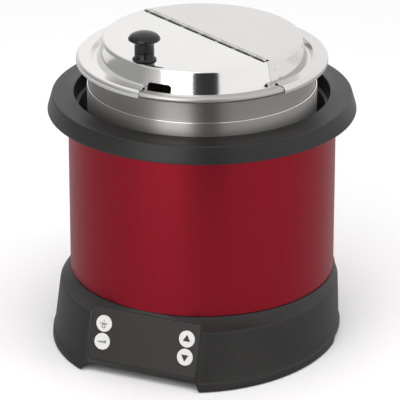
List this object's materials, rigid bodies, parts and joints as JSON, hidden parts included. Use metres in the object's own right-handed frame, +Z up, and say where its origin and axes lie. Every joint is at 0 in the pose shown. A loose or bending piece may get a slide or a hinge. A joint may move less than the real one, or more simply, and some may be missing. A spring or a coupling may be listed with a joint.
{
  "type": "soup kettle",
  "caption": "Round countertop induction soup kettle: moulded base with tilted button panel, painted sleeve, lift-out steel inset and hinged notched lid with a knob.",
  "frame": {"origin": "on the sleeve's axis, on the plane the four feet stand on", "axes": "+Z up along the sleeve's axis, -Y towards the button panel, +X to the right seen from the front"},
  "size_m": [0.296, 0.296, 0.3263],
  "materials": {
    "moulding": "satin moulded",
    "red_paint": "satin metallic paint",
    "polished_steel": "polished",
    "satin_steel": "satin",
    "button_white": "gloss",
    "panel_film": "satin film",
    "foot_rubber": "matt",
    "knob_phenolic": "gloss",
    "cover_glass": "polished",
    "winding_copper": "lacquered winding",
    "ferrite": "matt",
    "circuit_board": "satin",
    "aluminium": "bare",
    "zinc": "zinc plated"
  },
  "bodies": {
    "housing": {"base_housing": "moulding", "base_plate": "moulding", "base_screw_1": "zinc", "base_screw_2": "zinc", "base_screw_3": "zinc", "base_screw_4": "zinc", "coil_bobbin": "moulding", "coil_cover": "cover_glass", "control_board": "circuit_board", "cord_gland": "moulding", "display_module": "panel_film", "fan_frame": "moulding", "ferrite_bar_1": "ferrite", "ferrite_bar_2": "ferrite", "ferrite_bar_3": "ferrite", "ferrite_bar_4": "ferrite", "ferrite_bar_5": "ferrite", "ferrite_bar_6": "ferrite", "foot_front_left": "foot_rubber", "foot_front_right": "foot_rubber", "foot_rear_left": "foot_rubber", "foot_rear_right": "foot_rubber", "heat_sink": "aluminium", "induction_coil": "winding_copper", "outer_sleeve": "red_paint", "panel_overlay": "panel_film", "power_board": "circuit_board", "temperature_sensor": "aluminium", "top_ring": "moulding", "well_gasket": "foot_rubber", "well_liner": "moulding"},
    "fan": {"fan_rotor": "moulding"},
    "power_key": {"power_button": "button_white"},
    "mode_key": {"mode_button": "button_white"},
    "up_key": {"up_button": "button_white"},
    "down_key": {"down_button": "button_white"},
    "inset": {"inset_pan": "satin_steel", "inset_rim": "satin_steel", "inset_jacket": "satin_steel"},
    "lid": {"lid_rear": "polished_steel", "hinge_pin": "polished_steel"},
    "flap": {"lid_flap": "polished_steel", "knob_base": "knob_phenolic", "knob_cap": "knob_phenolic", "knob_screw": "zinc"}
  },
  "joints": [
    {"name": "power_press", "type": "slide", "parent": "housing", "child": "power_key", "axis": [0, 0.9598, -0.2807], "range_m": [0, 0.0008], "stiffness_N_per_m": 800, "springref_m": -0.0003},
    {"name": "mode_press", "type": "slide", "parent": "housing", "child": "mode_key", "axis": [0, 0.9598, -0.2807], "range_m": [0, 0.0008], "stiffness_N_per_m": 800, "springref_m": -0.0003},
    {"name": "up_press", "type": "slide", "parent": "housing", "child": "up_key", "axis": [0, 0.9598, -0.2807], "range_m": [0, 0.0008], "stiffness_N_per_m": 800, "springref_m": -0.0003},
    {"name": "down_press", "type": "slide", "parent": "housing", "child": "down_key", "axis": [0, 0.9598, -0.2807], "range_m": [0, 0.0008], "stiffness_N_per_m": 800, "springref_m": -0.0003},
    {"name": "fan_spin", "type": "hinge", "parent": "housing", "child": "fan", "pos_m": [0.046, 0.034, 0.018], "axis": [0, 0, 1], "continuous": true},
    {"name": "inset_lift", "type": "slide", "parent": "housing", "child": "inset", "axis": [0, 0, 1], "range_m": [0, 0.25]},
    {"name": "lid_lift", "type": "slide", "parent": "inset", "child": "lid", "axis": [0, 0, 1], "range_m": [0, 0.1]},
    {"name": "flap_hinge", "type": "hinge", "parent": "lid", "child": "flap", "pos_m": [0.00141, 0.00265, 0.29925], "axis": [-0.8829, 0.4695, 0], "range_deg": [0, 150]}
  ]
}
